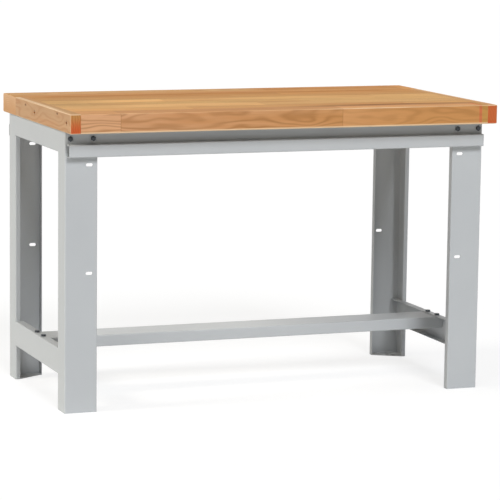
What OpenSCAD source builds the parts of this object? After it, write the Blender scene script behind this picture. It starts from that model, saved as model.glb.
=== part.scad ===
// Workbench: a solid wood worktop on a frame of folded sheet steel.
// Two welded end frames, each of two legs and two side rails, are joined by a
// long rail under the front edge, a long rail under the back edge and a low stretcher.
// Sizes are in millimetres. X runs along the bench, the front faces -Y and Z is up.
// The origin lies on the floor, under the middle of the worktop.

/* [Overall] */
// Length of the worktop, left to right
bench_w = 1290; // [1000:10:2000]
// Depth of the worktop, front to back
bench_d = 700; // [600:10:900]
// Height of the working face above the floor
bench_h = 850; // [700:5:1000]

/* [Worktop] */
// Thickness of the worktop
top_t = 55; // [45:1:80]
// Width of the full-length board along the back edge
rear_board_w = 140; // [90:1:180]
// Thickness of the batten across each end
batten_t = 30; // [20:1:35]
// Broken edge along the outer corners of the worktop
arris = 1.5; // [0.5:0.5:4]

/* [Frame] */
// Thickness of the folded steel sheet
sheet_t = 2; // [1.5:0.5:3]
// Inner radius of each fold
bend_r = 1.5; // [1:0.5:3]
// Worktop beyond the legs at the front
front_overhang = 80; // [50:5:140]
// Worktop beyond the legs at the back
rear_overhang = 40; // [40:5:100]
// Worktop beyond the legs at each end
side_overhang = 8; // [0:1:60]

/* [Legs] */
// Width of a leg's broad face
leg_w = 95; // [85:1:130]
// Depth of a leg's side face
leg_d = 68; // [55:1:100]
// Lip folded in at the edge of the side face
leg_side_lip = 14; // [10:1:25]
// Lip folded back at the inner edge of the broad face
leg_edge_lip = 20; // [12:1:30]
// Length of an accessory slot
slot_l = 20; // [16:1:30]
// Width of an accessory slot
slot_w = 9; // [6:0.5:11]
// Distance from the middle of a slot to the inner edge of the leg
slot_in = 24; // [20:1:35]
// Height of the lower slot above the floor
slot_low_z = 396; // [250:1:450]
// Distance between the lower and the upper slot
slot_pitch = 305; // [100:1:310]
// Thickness of the plate in each foot
foot_plate_t = 4; // [3:0.5:8]
// Diameter of the floor bolt hole in each foot plate
foot_hole_d = 11; // [8:0.5:14]
// Distance from the floor bolt hole to the leg's side face
foot_hole_x = 38; // [20:1:40]
// Distance from the floor bolt hole to the leg's broad face
foot_hole_y = 28; // [15:1:30]

/* [Side rails] */
// Height of an upper side rail
upper_rail_h = 63; // [45:1:90]
// Width of the flange that the worktop rests on
seat_w = 45; // [40:1:70]
// Height of a lower side rail
lower_rail_h = 74; // [60:1:100]
// Height of a lower side rail's bottom edge above the floor
lower_rail_z = 102; // [40:1:160]
// Width of the other flanges of the side rails
rail_flange = 25; // [22:1:40]
// Distance between the two worktop screws in an upper side rail
side_screw_pitch = 320; // [200:10:340]

/* [Long rails] */
// Height of the recess between the worktop and the band of a long rail
recess_h = 36; // [28:1:50]
// Height of the band of a long rail
band_h = 35; // [25:1:55]
// Distance that the band stands out from the legs
band_proud = 24; // [14:1:32]
// Lip folded up behind the band
band_lip = 12; // [8:1:16]
// Width of the flange under the worktop
long_flange = 30; // [24:1:34]
// Distance from each end of a long rail to the outer face of the legs
long_rail_inset = 6; // [0:1:8]

/* [Stretcher] */
// Width of the stretcher, front to back
stretcher_w = 107; // [90:1:160]
// Height of the stretcher
stretcher_h = 34; // [25:1:50]
// Lip folded in along the bottom of the stretcher
stretcher_lip = 12; // [8:1:20]
// Distance between the two bolts at each end of the stretcher
stretcher_bolt_pitch = 66; // [40:1:68]

/* [Fasteners] */
// Thread diameter of the frame bolts
bolt_d = 8; // [6:1:8]
// Width across the flats of a bolt head and a nut
hex_af = 13; // [12:1:14]
// Height of a bolt head
head_h = 5.3; // [4:0.1:6]
// Height of a nut
nut_h = 6.5; // [5:0.1:8]
// Outer diameter of a washer
washer_d = 16; // [15:0.5:17]
// Thickness of a washer
washer_t = 1.6; // [1:0.1:2]
// Distance from a leg's outer face to the outer bolt
bolt_edge = 15; // [13:1:18]
// Distance between the two bolts in a leg
bolt_pitch = 66; // [20:1:66]
// Distance from the worktop down to the bolts of a long rail
bolt_drop = 20; // [16:1:20]
// Shank diameter of the worktop screws
screw_d = 6; // [4:0.5:7]
// Head diameter of the worktop screws
screw_head_d = 12; // [9:0.5:13]
// Head height of the worktop screws
screw_head_h = 3.5; // [2.5:0.1:5]
// Depth that the worktop screws reach into the wood
screw_reach = 38; // [25:1:40]
// Length of the screws that hold the end battens
batten_screw_l = 70; // [50:1:90]
// Depth of the open counterbore over a batten screw
counterbore_depth = 12; // [6:1:14]

/* [Hidden] */
STAVES = 7;
// Flat steps that draw each fold, and sides that draw each round hole and shank
BEND_STEPS = 4;
ROUND = 40;
// Hole over bolt shank, and wood or nut over thread, both on the diameter
hole_gap = 1;
thread_gap = 0.2;
// Threads of a bolt that stand out of its nut
bolt_spare = 2.5;
// Play of the stretcher between the side rails, at each end
stretcher_play = 1;
// Gap between a counterbore's wall and the screw head in it
counterbore_gap = 1;
// Length that each cutting shape runs past the face that it cuts
cut = 1;

wood_colour = "#d9ab73";
end_wood_colour = "#b5713f";
paint_colour = "#bcc0c2";
bolt_colour = "#2b2d2f";

// Where the frame stands under the worktop
leg_h = bench_h - top_t;
frame_x = bench_w / 2 - side_overhang;
front_y = -bench_d / 2 + front_overhang;
rear_y = bench_d / 2 - rear_overhang;
mid_y = (front_y + rear_y) / 2;

// The worktop's own seams
batten_l = bench_d - rear_board_w;
stave_w = batten_l / STAVES;
stave_l = bench_w - 2 * batten_t;
rear_board_y = bench_d / 2 - rear_board_w;

// Rails and stretcher
lower_rail_top = lower_rail_z + lower_rail_h;
upper_rail_z = leg_h - upper_rail_h;
// A leg's notch takes away the fold of its side lip, so a rail's web butts against flat sheet.
notch_d = sheet_t + bend_r;
rail_web_l = rear_y - front_y - 2 * (leg_d - notch_d);
rail_flange_l = rear_y - front_y - 2 * sheet_t;
band_top = leg_h - recess_h;
band_bottom = band_top - band_h;
long_rail_l = 2 * (frame_x - long_rail_inset);
stretcher_top = lower_rail_top - sheet_t;
stretcher_l = 2 * (frame_x - sheet_t - stretcher_play);

// Fastener places
bolt_z = leg_h - bolt_drop;
bolt_hole_d = bolt_d + hole_gap;
screw_hole_d = screw_d + thread_gap;
rail_bolt_l = 2 * sheet_t + washer_t + nut_h + bolt_spare;
bolt_xs = [for (s = [-1, 1], d = [bolt_edge, bolt_edge + bolt_pitch]) s * (frame_x - d)];
stretcher_bolts_at = [for (s = [-1, 1], e = [-1, 1])
    [s * (frame_x - rail_flange / 2), mid_y + e * stretcher_bolt_pitch / 2]];
long_screw_xs = [for (k = [-3, -1, 1, 3]) k * long_rail_l / 8];
long_screw_out = (long_flange + sheet_t) / 2;
side_screw_x = frame_x - seat_w + screw_head_d;
side_screws_at = [for (s = [-1, 1], e = [-1, 1])
    [s * side_screw_x, mid_y + e * side_screw_pitch / 2]];
front_screws_at = [for (x = long_screw_xs) [x, front_y - long_screw_out]];
rear_screws_at = [for (x = long_screw_xs) [x, rear_y + long_screw_out]];
// Each batten is screwed to the middle of the first stave and of the third from the back
batten_screw_ys = [for (i = [1, STAVES - 2]) -bench_d / 2 + (i - 0.5) * stave_w];

// A folded sheet is drawn from the middle line of its section, with a true bend at each corner.
function unit(v) = v / norm(v);
function left_of(v) = [-v.y, v.x];
function turned(v, a) = [v.x * cos(a) - v.y * sin(a), v.x * sin(a) + v.y * cos(a)];
function turn_between(a, b) = atan2(a.x * b.y - a.y * b.x, a * b);

function bend_points(before, corner, after, side) =
    let (d = unit(corner - before),
         a = turn_between(d, unit(after - corner)),
         middle_r = bend_r + sheet_t / 2,
         centre = corner - d * middle_r * tan(abs(a) / 2) + left_of(d) * middle_r * sign(a),
         reach = middle_r - side * sign(a) * sheet_t / 2)
    [for (k = [0:BEND_STEPS])
        centre - turned(left_of(d), a * k / BEND_STEPS) * sign(a) * reach];

function end_point(tip, d, side) = tip + left_of(d) * side * sheet_t / 2;

function sheet_side(path, side) =
    let (n = len(path) - 1)
    concat(
        [end_point(path[0], unit(path[1] - path[0]), side)],
        [for (i = [1:n - 1]) each bend_points(path[i - 1], path[i], path[i + 1], side)],
        [end_point(path[n], unit(path[n] - path[n - 1]), side)]);

function reversed(points) = [for (i = [len(points) - 1:-1:0]) points[i]];

module folded(path, length) {
    linear_extrude(length)
        polygon(concat(sheet_side(path, 1), reversed(sheet_side(path, -1))));
}

// A piece drawn along +Z is laid along +X, with its section's x along Y and its y along Z.
module along_x() {
    rotate([90, 0, 90]) children();
}

module mirrored(on, axis) {
    if (on) mirror(axis) children();
    else children();
}

// Local x and y run from a leg's outer corner towards the middle of the bench.
module at_corner(side, end) {
    translate([side * frame_x, end < 0 ? front_y : rear_y, 0])
        mirrored(side > 0, [1, 0, 0])
            mirrored(end > 0, [0, 1, 0])
                children();
}

// Upright holes, such as those of the worktop screws
module upright_holes(places, d, z, h) {
    for (p = places) translate([p.x, p.y, z]) cylinder(d = d, h = h, $fn = ROUND);
}

// Worktop

module screw_pilots() {
    for (places = [side_screws_at, front_screws_at, rear_screws_at])
        upright_holes(places, screw_hole_d, leg_h - cut, screw_reach + cut);
}

module batten_screw_places() {
    for (s = [-1, 1], y = batten_screw_ys)
        translate([s * bench_w / 2, y, leg_h + top_t / 2])
            rotate([0, -90 * s, 0]) children();
}

module batten_pilots() {
    batten_screw_places() {
        translate([0, 0, -cut])
            cylinder(d = screw_head_d + counterbore_gap, h = counterbore_depth + cut, $fn = ROUND);
        cylinder(d = screw_hole_d, h = counterbore_depth + batten_screw_l, $fn = ROUND);
    }
}

// A board's section, broken at the corners on the side where x is its width
module board_section(w, broken) {
    b = broken ? arris : 0;
    polygon([[0, 0], [w - b, 0], [w, b], [w, top_t - b], [w - b, top_t], [0, top_t]]);
}

module top_stave(i) {
    color(wood_colour)
        difference() {
            translate([-stave_l / 2, -bench_d / 2 + i * stave_w, leg_h])
                mirror([0, 1, 0])
                    along_x() linear_extrude(stave_l) board_section(stave_w, i == 1);
            screw_pilots();
            batten_pilots();
        }
}

module rear_board() {
    color(wood_colour)
        difference() {
            translate([-bench_w / 2, rear_board_y, leg_h])
                along_x() linear_extrude(bench_w) board_section(rear_board_w, true);
            screw_pilots();
        }
}

module end_batten(side) {
    color(end_wood_colour)
        difference() {
            translate([side * (bench_w / 2 - batten_t), rear_board_y, leg_h])
                mirrored(side < 0, [1, 0, 0])
                    rotate([90, 0, 0]) linear_extrude(batten_l) board_section(batten_t, true);
            batten_pilots();
        }
}

module batten_screws() {
    color(bolt_colour)
        batten_screw_places()
            translate([0, 0, counterbore_depth - screw_head_h]) {
                cylinder(d = screw_head_d, h = screw_head_h, $fn = ROUND);
                cylinder(d = screw_d, h = batten_screw_l, $fn = ROUND);
            }
}

// Legs

leg_path = [
    [leg_w - sheet_t / 2, leg_edge_lip],
    [leg_w - sheet_t / 2, sheet_t / 2],
    [sheet_t / 2, sheet_t / 2],
    [sheet_t / 2, leg_d - sheet_t / 2],
    [leg_side_lip, leg_d - sheet_t / 2]];

module slot_cut(x, z) {
    reach = (slot_l - slot_w) / 2;
    translate([x, sheet_t + cut, z]) rotate([90, 0, 0]) {
        for (s = [-1, 1])
            translate([s * reach, 0, 0]) cylinder(d = slot_w, h = sheet_t + 2 * cut, $fn = ROUND);
        translate([-reach, -slot_w / 2, 0]) cube([2 * reach, slot_w, sheet_t + 2 * cut]);
    }
}

// The side lip is cut away where a side rail runs into the leg.
module rail_notch(z, h) {
    translate([-cut, leg_d - notch_d, z])
        cube([leg_side_lip + 2 * cut, notch_d + cut, h]);
}

module leg(side, end) {
    color(paint_colour)
        at_corner(side, end) difference() {
            folded(leg_path, leg_h);
            rail_notch(lower_rail_z, lower_rail_h);
            rail_notch(upper_rail_z, upper_rail_h + cut);
            for (z = [slot_low_z, slot_low_z + slot_pitch]) slot_cut(leg_w - slot_in, z);
            for (x = [bolt_edge, bolt_edge + bolt_pitch])
                translate([x, sheet_t + cut, bolt_z]) rotate([90, 0, 0])
                    cylinder(d = bolt_hole_d, h = sheet_t + 2 * cut, $fn = ROUND);
        }
}

// The plate lies in the corner of the foot, and its slanted edge joins the tips of the two lips.
// Its corners clear the bends.
module foot_plate(side, end) {
    x1 = leg_w - sheet_t;
    y1 = leg_d - sheet_t;
    c = bend_r;
    color(paint_colour)
        at_corner(side, end) difference() {
            linear_extrude(foot_plate_t)
                polygon([[sheet_t + c, sheet_t], [x1 - c, sheet_t], [x1, sheet_t + c],
                         [x1, leg_edge_lip], [leg_side_lip, y1], [sheet_t + c, y1],
                         [sheet_t, y1 - c], [sheet_t, sheet_t + c]]);
            translate([foot_hole_x, foot_hole_y, -cut])
                cylinder(d = foot_hole_d, h = foot_plate_t + 2 * cut, $fn = ROUND);
        }
}

// Side rails

function channel_path(h, top_flange, bottom_flange) = [
    [top_flange, h - sheet_t / 2],
    [sheet_t / 2, h - sheet_t / 2],
    [sheet_t / 2, sheet_t / 2],
    [bottom_flange, sheet_t / 2]];

// A side rail's web butts against the side faces of its two legs, flush with them. Its flanges
// run on as flat tongues, through the notches of the legs, to the legs' broad faces.
module side_rail(side, z, h, path) {
    tongue_l = (rail_flange_l - rail_web_l) / 2;
    translate([side * frame_x, mid_y, z])
        mirrored(side > 0, [1, 0, 0]) difference() {
            translate([0, rail_flange_l / 2, 0])
                rotate([90, 0, 0]) folded(path, rail_flange_l);
            for (y = [-rail_flange_l / 2 - cut, rail_web_l / 2])
                translate([-cut, y, -cut])
                    cube([notch_d + cut, tongue_l + cut, h + 2 * cut]);
        }
}

module upper_rail(side) {
    color(paint_colour)
        difference() {
            side_rail(side, upper_rail_z, upper_rail_h,
                channel_path(upper_rail_h, seat_w, rail_flange));
            upright_holes(side_screws_at, screw_hole_d,
                leg_h - sheet_t - cut, sheet_t + 2 * cut);
        }
}

module lower_rail(side) {
    color(paint_colour)
        difference() {
            side_rail(side, lower_rail_z, lower_rail_h,
                channel_path(lower_rail_h, rail_flange, rail_flange));
            upright_holes(stretcher_bolts_at, bolt_hole_d,
                lower_rail_top - sheet_t - cut, sheet_t + 2 * cut);
        }
}

// Long rails

// Section of a long rail: x runs out from the legs' face and y is the height.
long_rail_path = [
    [long_flange, leg_h - sheet_t / 2],
    [sheet_t / 2, leg_h - sheet_t / 2],
    [sheet_t / 2, band_top - sheet_t / 2],
    [band_proud - sheet_t / 2, band_top - sheet_t / 2],
    [band_proud - sheet_t / 2, band_bottom + sheet_t / 2],
    [sheet_t / 2, band_bottom + sheet_t / 2],
    [sheet_t / 2, band_bottom + band_lip]];

// Local +Z runs into the leg from the outer face of a long rail, at each bolt.
module rail_bolt_places(end) {
    y = end < 0 ? front_y - sheet_t : rear_y + sheet_t;
    for (x = bolt_xs)
        translate([x, y, bolt_z]) rotate([90 * end, 0, 0]) children();
}

module long_rail(end) {
    color(paint_colour)
        difference() {
            translate([-long_rail_l / 2, end < 0 ? front_y : rear_y, 0])
                mirrored(end < 0, [0, 1, 0]) along_x() folded(long_rail_path, long_rail_l);
            rail_bolt_places(end)
                translate([0, 0, -cut])
                    cylinder(d = bolt_hole_d, h = sheet_t + 2 * cut, $fn = ROUND);
            upright_holes(end < 0 ? front_screws_at : rear_screws_at, screw_hole_d,
                leg_h - sheet_t - cut, sheet_t + 2 * cut);
        }
}

// Stretcher: a channel, open downwards, bolted up against the flanges of the lower side rails

stretcher_path = [
    [-stretcher_w / 2 + stretcher_lip, sheet_t / 2 - stretcher_h],
    [-stretcher_w / 2 + sheet_t / 2, sheet_t / 2 - stretcher_h],
    [-stretcher_w / 2 + sheet_t / 2, -sheet_t / 2],
    [stretcher_w / 2 - sheet_t / 2, -sheet_t / 2],
    [stretcher_w / 2 - sheet_t / 2, sheet_t / 2 - stretcher_h],
    [stretcher_w / 2 - stretcher_lip, sheet_t / 2 - stretcher_h]];

module stretcher() {
    color(paint_colour)
        difference() {
            translate([-stretcher_l / 2, mid_y, stretcher_top])
                along_x() folded(stretcher_path, stretcher_l);
            upright_holes(stretcher_bolts_at, bolt_hole_d,
                stretcher_top - sheet_t - cut, sheet_t + 2 * cut);
        }
}

module stretcher_bolt_places() {
    for (p = stretcher_bolts_at)
        translate([p.x, p.y, lower_rail_top]) rotate([180, 0, 0]) children();
}

// Fasteners: local +Z runs from the head to the tip, and z = 0 is under the head.

module hex_bolt() {
    translate([0, 0, -head_h]) cylinder(d = hex_af / cos(30), h = head_h, $fn = 6);
    cylinder(d = bolt_d, h = rail_bolt_l, $fn = ROUND);
}

module washer() {
    translate([0, 0, 2 * sheet_t]) difference() {
        cylinder(d = washer_d, h = washer_t, $fn = ROUND);
        translate([0, 0, -cut]) cylinder(d = bolt_hole_d, h = washer_t + 2 * cut, $fn = ROUND);
    }
}

module nut() {
    translate([0, 0, 2 * sheet_t + washer_t]) difference() {
        cylinder(d = hex_af / cos(30), h = nut_h, $fn = 6);
        translate([0, 0, -cut])
            cylinder(d = bolt_d + thread_gap, h = nut_h + 2 * cut, $fn = ROUND);
    }
}

// Pan-head screws that run up through a flange into the worktop
module worktop_screws(places) {
    color(bolt_colour)
        for (p = places) translate([p.x, p.y, leg_h - sheet_t]) {
            translate([0, 0, -screw_head_h])
                cylinder(d = screw_head_d, h = screw_head_h, $fn = ROUND);
            translate([0, 0, -cut])
                cylinder(d = screw_d, h = sheet_t + screw_reach - cut, $fn = ROUND);
        }
}

for (i = [1:STAVES]) top_stave(i);
rear_board();
end_batten(-1);  // left_end_batten
end_batten(1);  // right_end_batten
batten_screws();
leg(-1, -1);  // front_left_leg
leg(1, -1);  // front_right_leg
leg(-1, 1);  // rear_left_leg
leg(1, 1);  // rear_right_leg
foot_plate(-1, -1);  // front_left_foot_plate
foot_plate(1, -1);  // front_right_foot_plate
foot_plate(-1, 1);  // rear_left_foot_plate
foot_plate(1, 1);  // rear_right_foot_plate
upper_rail(-1);  // left_upper_rail
upper_rail(1);  // right_upper_rail
lower_rail(-1);  // left_lower_rail
lower_rail(1);  // right_lower_rail
long_rail(-1);  // front_long_rail
long_rail(1);  // rear_long_rail
stretcher();
color(bolt_colour) rail_bolt_places(-1) hex_bolt();  // front_rail_bolts
color(bolt_colour) rail_bolt_places(-1) washer();  // front_rail_washers
color(bolt_colour) rail_bolt_places(-1) nut();  // front_rail_nuts
color(bolt_colour) rail_bolt_places(1) hex_bolt();  // rear_rail_bolts
color(bolt_colour) rail_bolt_places(1) washer();  // rear_rail_washers
color(bolt_colour) rail_bolt_places(1) nut();  // rear_rail_nuts
color(bolt_colour) stretcher_bolt_places() hex_bolt();  // stretcher_bolts
color(bolt_colour) stretcher_bolt_places() washer();  // stretcher_washers
color(bolt_colour) stretcher_bolt_places() nut();  // stretcher_nuts
worktop_screws(side_screws_at);  // side_rail_screws
worktop_screws(front_screws_at);  // front_rail_screws
worktop_screws(rear_screws_at);  // rear_rail_screws
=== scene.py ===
# %% [markdown]
# # A workbench with a solid wood top on a frame of folded steel
# The bench has three kinds of part: glued boards, sheet steel that is cut flat and then folded, and
# the bolts and screws that join them. Each kind gets its own way of modelling here. The sizes come
# from the engineering model, which is loaded first and stays as it is.

# %% Load the engineering model
import math
from bisect import bisect_right
from functools import partial, reduce

import bmesh
import bpy
from mathutils import Matrix, Vector


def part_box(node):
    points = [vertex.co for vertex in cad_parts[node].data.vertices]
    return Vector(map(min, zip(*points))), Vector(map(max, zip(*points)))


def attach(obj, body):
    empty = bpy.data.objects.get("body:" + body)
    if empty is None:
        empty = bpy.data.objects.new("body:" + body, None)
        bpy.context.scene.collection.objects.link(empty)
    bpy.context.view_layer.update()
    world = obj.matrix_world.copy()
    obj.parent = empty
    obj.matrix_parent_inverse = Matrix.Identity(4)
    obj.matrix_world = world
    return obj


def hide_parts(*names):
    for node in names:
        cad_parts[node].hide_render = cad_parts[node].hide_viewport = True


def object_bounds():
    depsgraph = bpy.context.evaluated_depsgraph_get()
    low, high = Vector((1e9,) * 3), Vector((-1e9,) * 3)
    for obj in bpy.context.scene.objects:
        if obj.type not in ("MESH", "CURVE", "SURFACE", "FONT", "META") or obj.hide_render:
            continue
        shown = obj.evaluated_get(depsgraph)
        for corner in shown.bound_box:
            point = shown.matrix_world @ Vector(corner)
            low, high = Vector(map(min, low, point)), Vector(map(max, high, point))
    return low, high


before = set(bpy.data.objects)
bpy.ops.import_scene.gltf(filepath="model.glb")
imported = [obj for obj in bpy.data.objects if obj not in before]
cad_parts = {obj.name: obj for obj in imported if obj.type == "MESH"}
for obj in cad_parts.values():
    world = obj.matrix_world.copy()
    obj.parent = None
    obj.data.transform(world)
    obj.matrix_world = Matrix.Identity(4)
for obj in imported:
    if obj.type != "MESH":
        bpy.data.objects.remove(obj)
cad_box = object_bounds()
print("engineering model:", len(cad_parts), "pieces,", [round(v, 3) for v in cad_box[1] - cad_box[0]])

# %% [markdown]
# ## Units, colours and shader nodes
# Workshop drawings are in millimetres, and Blender works in metres, so one factor turns one into the
# other. Colours are easiest to judge as the hex values of a picture, but a shader adds up light, so
# one function turns each value to linear. Shader nodes could be added with a helper for each kind,
# but one small function that takes any kind keeps every graph readable. The commonest kinds get
# short names on top of it.

# %% Units, colours and node helpers
MM = 0.001


def linear(code):
    """Turns a hex colour, as seen on a screen, to linear light."""
    shares = [int(code[i:i + 2], 16) / 255 for i in (1, 3, 5)]
    return (*[c / 12.92 if c <= 0.04045 else ((c + 0.055) / 1.055) ** 2.4 for c in shares], 1.0)


def feed(tree, node, inputs):
    """Fills a node's sockets. Each input is a plain value or another node's output."""
    for socket, value in inputs.items():
        if isinstance(value, bpy.types.NodeSocket):
            tree.links.new(value, node.inputs[socket])
        else:
            node.inputs[socket].default_value = value


def add(tree, kind, inputs=None, **settings):
    """Adds one shader node, with its settings and its inputs."""
    node = tree.nodes.new(kind)
    for name, value in settings.items():
        setattr(node, name, value)
    feed(tree, node, inputs or {})
    return node


def value_node(tree, operation, *values):
    """A number worked out from one, two or three others."""
    return add(tree, "ShaderNodeMath", dict(enumerate(values)), operation=operation).outputs[0]


def vector_node(tree, operation, *values, out=0):
    """A vector, or with out=1 a number, worked out from vectors."""
    return add(tree, "ShaderNodeVectorMath", dict(enumerate(values)), operation=operation).outputs[out]


def ramp_node(tree, value, low, high, bottom=0.0, top=1.0):
    """Goes from bottom to top while the value goes from low to high, and stays there beyond."""
    return add(tree, "ShaderNodeMapRange", {0: value, 1: low, 2: high, 3: bottom, 4: top}).outputs[0]


def mix_node(tree, share, first, second, kind="MIX"):
    """A mix of two colours."""
    return add(tree, "ShaderNodeMix", {0: share, 6: first, 7: second}, data_type="RGBA",
               blend_type=kind).outputs[2]


def noise_node(tree, place, scale, detail):
    """Smooth noise, as a number in its first output and as three in its colour."""
    return add(tree, "ShaderNodeTexNoise", {"Vector": place, "Scale": scale, "Detail": detail}).outputs


def bumps(tree, height, strength, depth_mm):
    """A bumped normal from a height."""
    inputs = {"Strength": strength, "Distance": depth_mm * MM, "Height": height}
    return add(tree, "ShaderNodeBump", inputs).outputs[0]


def new_material(name):
    """An empty material with its output and its main shader."""
    material = bpy.data.materials.new(name)
    material.use_nodes = True
    tree = material.node_tree
    tree.nodes.clear()
    shader = add(tree, "ShaderNodeBsdfPrincipled")
    add(tree, "ShaderNodeOutputMaterial", {"Surface": shader.outputs[0]})
    return material, tree, shader


print("paint grey in linear light:", [round(v, 3) for v in linear("#BEC1C3")[:3]])

# %% [markdown]
# ## Sizes of the bench
# The frame's main planes are read from the boxes of the engineering pieces, so the visible pieces
# can't drift away from them. Only what a box doesn't show, such as a lip or a bend radius, is
# written here, as a workshop drawing would give it.

# %% Read the main sizes
def box_mm(node):
    """Lowest and highest corner of an engineering piece, in millimetres."""
    low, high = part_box(node)
    return Vector(low) / MM, Vector(high) / MM


SHEET = 2.0
INNER_BEND = 1.5
HALF = SHEET / 2
MIDDLE_BEND = INNER_BEND + HALF
FOLD = SHEET + INNER_BEND
BEND_STEPS = 6

leg_low, leg_high = box_mm("front_left_leg")
LEG_W = leg_high.x - leg_low.x
LEG_D = leg_high.y - leg_low.y
LEG_H = leg_high.z
FRAME_X = -leg_low.x
FRONT_Y = leg_low.y
REAR_Y = box_mm("rear_left_leg")[1].y
MID_Y = (FRONT_Y + REAR_Y) / 2

rim_low, rim_high = Vector(cad_box[0]) / MM, Vector(cad_box[1]) / MM
print("leg", round(LEG_W), round(LEG_D), round(LEG_H), "frame", round(2 * FRAME_X), round(REAR_Y - FRONT_Y))

# %% [markdown]
# ## Powder-coated steel
# The frame is mild steel, sprayed with dry polyester powder and baked. The powder melts to a tough
# satin skin about 0.08 mm thick. It isn't quite flat: it keeps a fine ripple, called orange peel,
# about 1.6 mm from crest to crest, and its shade drifts a little from piece to piece. A real ripple
# is a few thousandths of a millimetre high, and here it is drawn a little deeper, so that it shows.

# %% Make the powder coat
ORANGE_PEEL_MM = 1.6
SHADE_DRIFT_MM = 180


def powder_coat(name, pale, deep, roughness):
    """A satin polyester powder coat, with orange peel and a slow drift of its shade."""
    material, tree, shader = new_material(name)
    place = add(tree, "ShaderNodeTexCoord").outputs["Object"]
    peel = noise_node(tree, place, 1 / (ORANGE_PEEL_MM * MM), 1.5)[0]
    drift = noise_node(tree, place, 1 / (SHADE_DRIFT_MM * MM), 3.0)[0]
    feed(tree, shader, {
        "Base Color": mix_node(tree, drift, linear(deep), linear(pale)),
        "Roughness": ramp_node(tree, peel, 0.0, 1.0, roughness - 0.04, roughness + 0.06),
        "Normal": bumps(tree, peel, 0.35, 0.05), "IOR": 1.5, "Specular IOR Level": 0.35})
    return material


FRAME_PAINT = powder_coat("satin_powder_coat", "#C2C5C6", "#BABDBF", 0.42)
print("made", FRAME_PAINT.name)

# %% [markdown]
# ## Oiled beech
# A board is cut from a log, so its figure is a cut through the log's year rings. Painted-on stripes
# look wrong at the ends, where the stripes should turn to arcs. Here each board is a true cut
# through a log: the shade depends on the distance from the log's centre line, which lies a few
# centimetres outside the board, bent by slow noise as a real trunk is. Long grain, arched figure and
# end grain then all come from one formula. Each length of board in the glued top gets its own log
# and its own shade, because the maker glues together whatever lengths are at hand.
#
# Marks, such as a dark streak, are mixed in before the rings and fibres, so that the grain runs on
# through them. Pin knots come last. The faces that the light has reached for years are more golden,
# and the underside was never oiled. The rounded edges get a painted highlight, on the front more so
# towards the right, and on the battens' upper outer edges more so towards the back. A strip of
# painted highlight also runs along the lower front edge.

# %% Make the wood
RING_MM = 5.5
FIBRE_MM = 0.9
GLUE_LINE_MM = 1.2
KNOT_MM = 4.5
CRISP_MARK_MM = 5
# Where a slow change begins and where it is complete, in from an edge or down from the top
RED_END_MM = (5, 45)
# The next two set where the painted edge highlights on the battens and along the lower front edge begin and
# are full
BATTEN_HIGHLIGHT_MM = (14, 9)
FRONT_HIGHLIGHT_MM = (5.5, 3.5)
# How fast each noise changes along the grain and across it, and how far apart two logs lie in it
FIBRE_STRETCH = 0.022
RAY_SCALE = 0.33
STREAK_STRETCH = (0.3, 1.0, 1.0)
TRUNK_BENDS = (3.2, 12.0, 12.0)
KNOT_STRETCH = (1.0, 0.4, 1.0)
LOG_SHIFT = (9.0, 9.0, 9.0)
# How far the joints of one board are shifted against the next one's, and a seed
STAGGER = 0.37
LUCK_SEED = 3.7


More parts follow.
